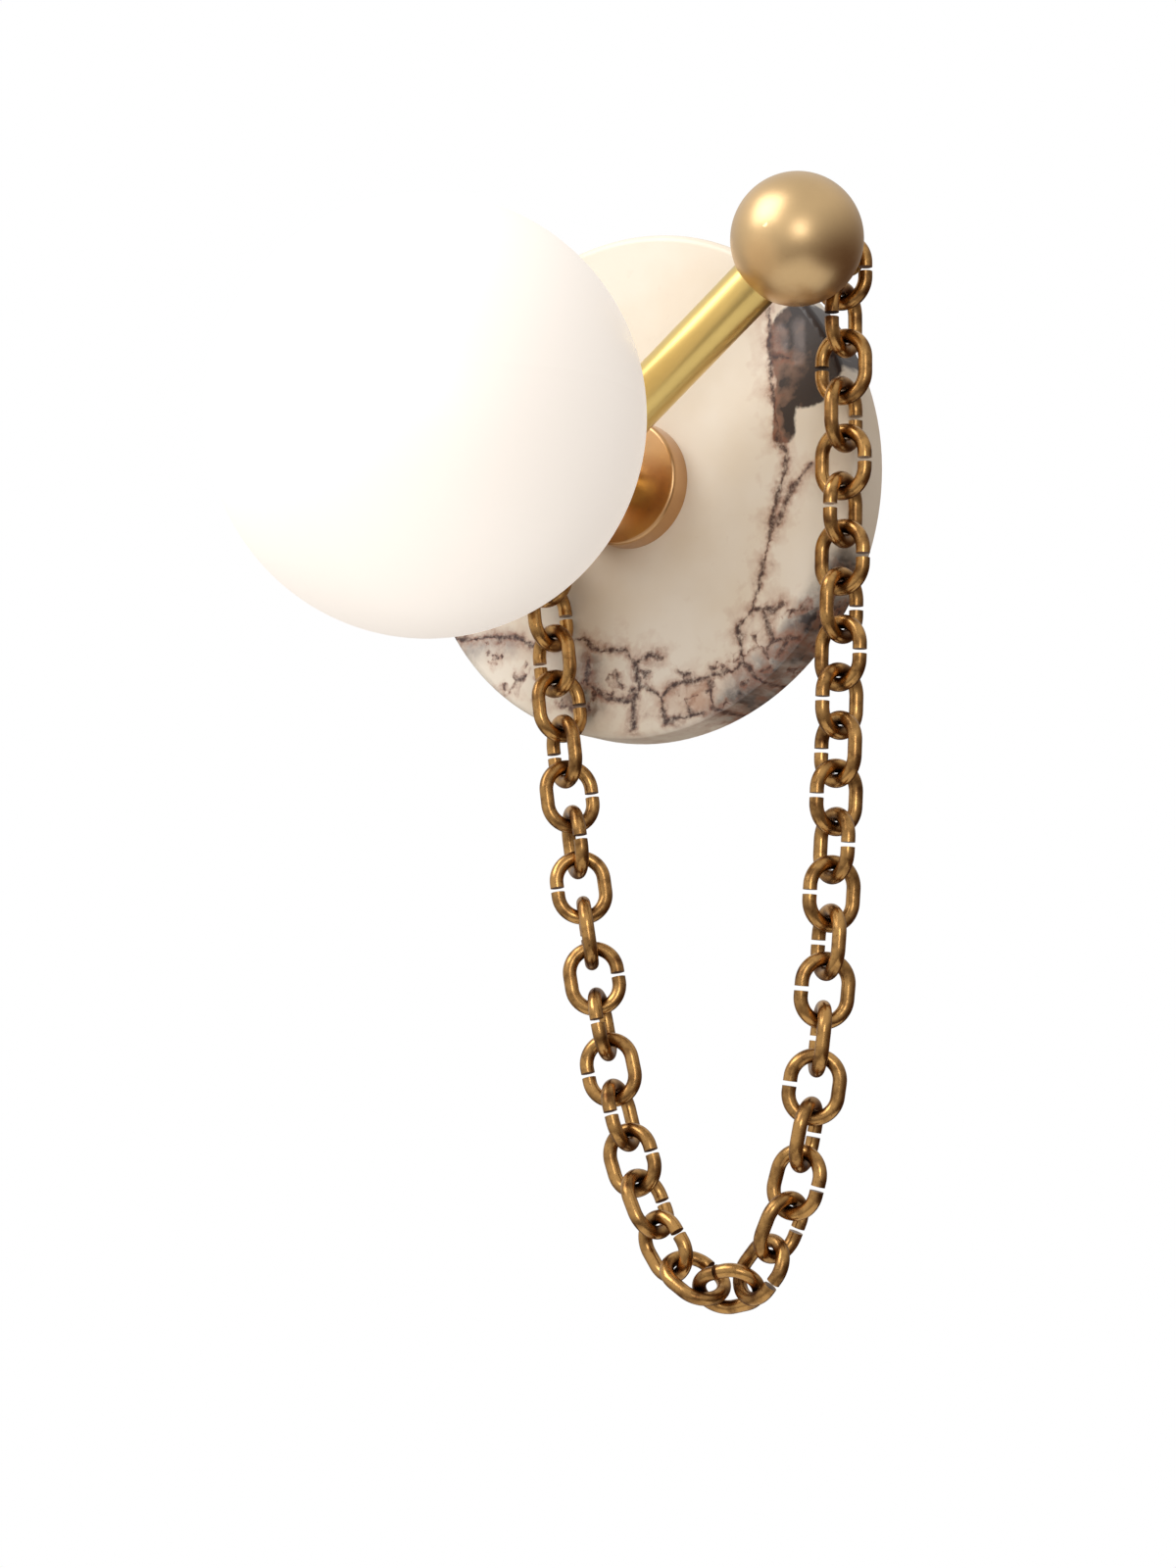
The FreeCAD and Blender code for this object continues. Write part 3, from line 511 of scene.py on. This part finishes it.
class SCONCE_OT_lamp(bpy.types.Operator):
    """Finish the lamp and its holder"""
    bl_idname = "sconce.lamp"
    bl_label = "Lamp and holder"

    def execute(self, context):
        # Steatite, glazed: a warm white with a gloss. Brass, stamped, and nickel, plated:
        # small bright metal. Lamp glass, drawn: clear and smooth.
        dress(plain("steatite_glazed", "#EDE8DF", Roughness=0.25), "lampholder", "lamp_base")
        dress(plain("contact_brass", "#D8B868", Metallic=1.0, Roughness=0.25),
              "lampholder_contacts")
        dress(plain("nickel_pins", "#C9C8C4", Metallic=1.0, Roughness=0.2), "lamp_pins")
        dress(plain("clear_lamp_glass", "#F3F6F6", Roughness=0.03, IOR=1.47,
                    Transmission_Weight=1.0), "lamp_envelope")
        return {"FINISHED"}


class SCONCE_OT_fixings(bpy.types.Operator):
    """Finish the steel fixings and the wiring pieces behind the stone"""
    bl_idname = "sconce.fixings"
    bl_label = "Fixings"

    def execute(self, context):
        # Steel, zinc plated: a dull grey shine. Nylon, moulded: off-white and half matt.
        # Brass, turned: small golden screws.
        dress(plain("zinc_plated_steel", "#BDBDBA", 0.6, Metallic=1.0, Roughness=0.35),
              "wall_bracket", "bracket_nut", "plate_nut", "plate_washer", "threaded_tube",
              "cup_tube", "cup_nut", "upper_ball_stud", "lower_ball_stud", "arm_lock_screw",
              "earth_screw")
        dress(plain("terminal_nylon", "#E6E2D8", Roughness=0.5), "terminal_block")
        dress(plain("terminal_brass", "#D2B36A", Metallic=1.0, Roughness=0.3),
              "terminal_screws")
        return {"FINISHED"}


# Places of the lights and lengths of their sides, in metres.
KEY_PLACE, KEY_SIDE = (-0.7, -1.4, 1.4), 1.5
FILL_PLACE, FILL_SIDE = (1.2, -1.7, 0.1), 0.7


def soft_light(name, place, side, watts):
    """A large square studio light that faces the middle of the stone's back."""
    light = bpy.data.lights.new(name, "AREA")
    light.size = side
    light.energy = watts
    thing = bpy.data.objects.new(name, light)
    bpy.context.scene.collection.objects.link(thing)
    thing.location = place
    thing.rotation_euler = (-thing.location).to_track_quat("-Z", "Y").to_euler()


SENSOR = 36.0  # long side of the camera's sensor in millimetres
CAMERA_PLACE = (0.7773, -1.3523, -0.3491)
CAMERA_TURN = (31.19, 5.83, -2.28)  # degrees to the left, upwards and about its own line


def add_camera(look):
    """The camera of the photograph."""
    camera = bpy.data.cameras.new("camera")
    camera.lens = look.lens
    camera.sensor_width = SENSOR
    camera.shift_y = look.shift
    thing = bpy.data.objects.new("camera", camera)
    bpy.context.scene.collection.objects.link(thing)
    yaw, pitch, roll = (math.radians(angle) for angle in CAMERA_TURN)
    forward = Vector((-math.sin(yaw) * math.cos(pitch), math.cos(yaw) * math.cos(pitch),
                      math.sin(pitch)))
    level = Vector((math.cos(yaw), math.sin(yaw), 0.0))
    upward = level.cross(forward)
    right = level * math.cos(roll) + upward * math.sin(roll)
    upward = upward * math.cos(roll) - level * math.sin(roll)
    turn = Matrix((right, upward, -forward)).transposed().to_4x4()
    thing.matrix_world = Matrix.Translation(CAMERA_PLACE) @ turn
    bpy.context.scene.camera = thing


ROOM_UP = (-0.2, -0.45, 0.87)  # towards the bright side of the room
ROOM_WHITE = (1.0, 0.99, 0.97, 1.0)


def pale_world(look):
    """A white backdrop, and a pale room that the object reflects, dimmer on its far side."""
    world = bpy.data.worlds.new("pale_room")
    bpy.context.scene.world = world
    world.use_nodes = True
    tree = world.node_tree
    tree.nodes.clear()
    way = add(tree, "ShaderNodeTexCoord")
    toward = add(tree, "ShaderNodeVectorMath", way, ROOM_UP, operation="DOT_PRODUCT")
    lit = add(tree, "ShaderNodeMapRange", toward, -0.75, 0.6, interpolation_type="SMOOTHSTEP")
    tone = add(tree, "ShaderNodeMix", lit, look.dim, ROOM_WHITE, data_type="RGBA")
    room = add(tree, "ShaderNodeBackground", tone, look.room)
    backdrop = add(tree, "ShaderNodeBackground", WHITE, 1.0)
    seen = add(tree, "ShaderNodeLightPath")
    add(tree, "ShaderNodeOutputWorld", add(tree, "ShaderNodeMixShader", seen, room, backdrop))


class SCONCE_OT_stage(bpy.types.Operator):
    """Set the floor, the lights and the camera"""
    bl_idname = "sconce.stage"
    bl_label = "Stage"

    def execute(self, context):
        look = context.scene.sconce_stage
        reach = look.floor_reach
        height = CAD_BOX[0][2] - look.floor_drop
        corners = [(x * reach, y * reach, height) for x, y in
                   ((-1, -1), (1, -1), (1, 1), (-1, 1))]
        mesh = bpy.data.meshes.new("pale_floor")
        mesh.from_pydata(corners, [], [(0, 1, 2, 3)])
        # Paper, matt: a pale floor with no reflections.
        mesh.materials.append(
            new_material("pale_floor_paper", Roughness=0.8, Base_Color=look.floor)[0])
        floor = bpy.data.objects.new("pale_floor", mesh)
        context.scene.collection.objects.link(floor)
        pale_world(look)
        soft_light("key", KEY_PLACE, KEY_SIDE, look.key_power)
        soft_light("fill", FILL_PLACE, FILL_SIDE, look.fill_power)
        add_camera(look)
        context.scene.view_settings.view_transform = "Standard"
        return {"FINISHED"}


class SCONCE_PT_panel(bpy.types.Panel):
    """Lists the sconce's steps and sizes in the sidebar"""
    bl_idname = "SCONCE_PT_panel"
    bl_label = "Marble wall sconce"
    bl_space_type = "VIEW_3D"
    bl_region_type = "UI"
    bl_category = "Sconce"

    def draw(self, context):
        for operator in OPERATORS:
            self.layout.operator(operator.bl_idname)
        for pointer in LOOKS:
            group = getattr(context.scene, pointer)
            for name in group.__annotations__:
                self.layout.prop(group, name)


LOOKS = {
    "sconce_marble": MarbleLook,
    "sconce_brass": BrassLook,
    "sconce_chain": ChainLook,
    "sconce_glass": GlassLook,
    "sconce_stage": StageLook,
}
OPERATORS = (SCONCE_OT_marble, SCONCE_OT_brasswork, SCONCE_OT_chain, SCONCE_OT_globe,
             SCONCE_OT_lamp, SCONCE_OT_fixings, SCONCE_OT_stage)


def register():
    """Register the classes and hang the looks on the scene."""
    for cls in (*LOOKS.values(), *OPERATORS, SCONCE_PT_panel):
        bpy.utils.register_class(cls)
    for pointer, cls in LOOKS.items():
        setattr(bpy.types.Scene, pointer, bpy.props.PointerProperty(type=cls))


def unregister():
    """Take the looks and the classes away again."""
    for pointer in LOOKS:
        delattr(bpy.types.Scene, pointer)
    for cls in (SCONCE_PT_panel, *reversed(OPERATORS), *reversed(LOOKS.values())):
        bpy.utils.unregister_class(cls)


def main():
    """Dress the whole object."""
    register()
    for operator in OPERATORS:
        group, name = operator.bl_idname.split(".")
        getattr(getattr(bpy.ops, group), name)()


if __name__ == "__main__":
    main()
